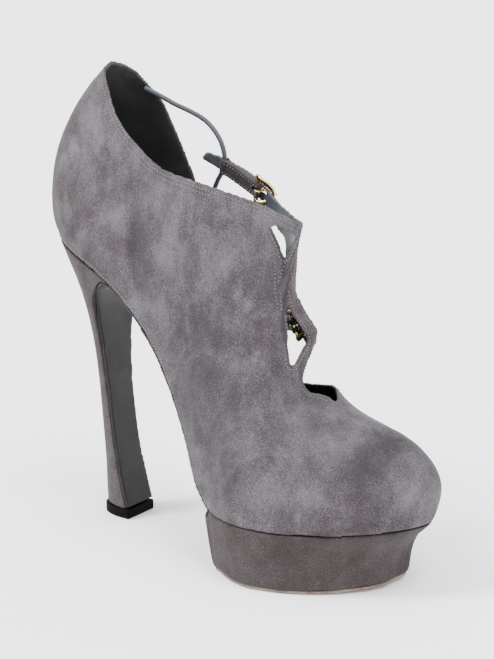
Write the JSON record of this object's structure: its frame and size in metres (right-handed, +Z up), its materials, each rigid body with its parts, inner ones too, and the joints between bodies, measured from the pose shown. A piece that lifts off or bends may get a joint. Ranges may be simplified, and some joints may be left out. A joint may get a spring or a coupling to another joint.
{
  "type": "heeled shoe",
  "caption": "High heeled closed-toe shoe with a platform, a heel, a closed inner side and an open outer side crossed by buckled straps.",
  "frame": {"origin": "middle of the shoe's length and width, on the floor under it", "axes": "+X from heel to toe, +Y towards the outer side of the foot, +Z up"},
  "size_m": [0.2168, 0.0874, 0.2263],
  "materials": {
    "sole_leather": "smooth tan leather",
    "platform_suede": "brushed grey suede",
    "grey_suede": "brushed grey suede",
    "insole_leather": "smooth dark lining",
    "smooth_grey_leather": "smooth grey leather",
    "heel_suede": "brushed grey suede",
    "black_rubber": "satin black",
    "cord_leather": "smooth round cord",
    "piece_suede": "brushed suede with stitching",
    "band_lining": "smooth dark lining",
    "gold_top": "polished gold plate",
    "gold_prong_top": "polished gold plate",
    "gold_low": "polished gold plate",
    "gold_prong_low": "polished gold plate"
  },
  "bodies": {
    "root": {"outsole": "sole_leather", "platform": "platform_suede", "upper": "grey_suede", "insole": "insole_leather", "waist_cover": "smooth_grey_leather", "heel": "heel_suede", "top_lift": "black_rubber", "cord": "cord_leather", "buckle_piece": "piece_suede", "low_band": "band_lining", "buckle_top": "gold_top", "prong_top": "gold_prong_top", "buckle_low": "gold_low", "prong_low": "gold_prong_low"}
  },
  "joints": []
}
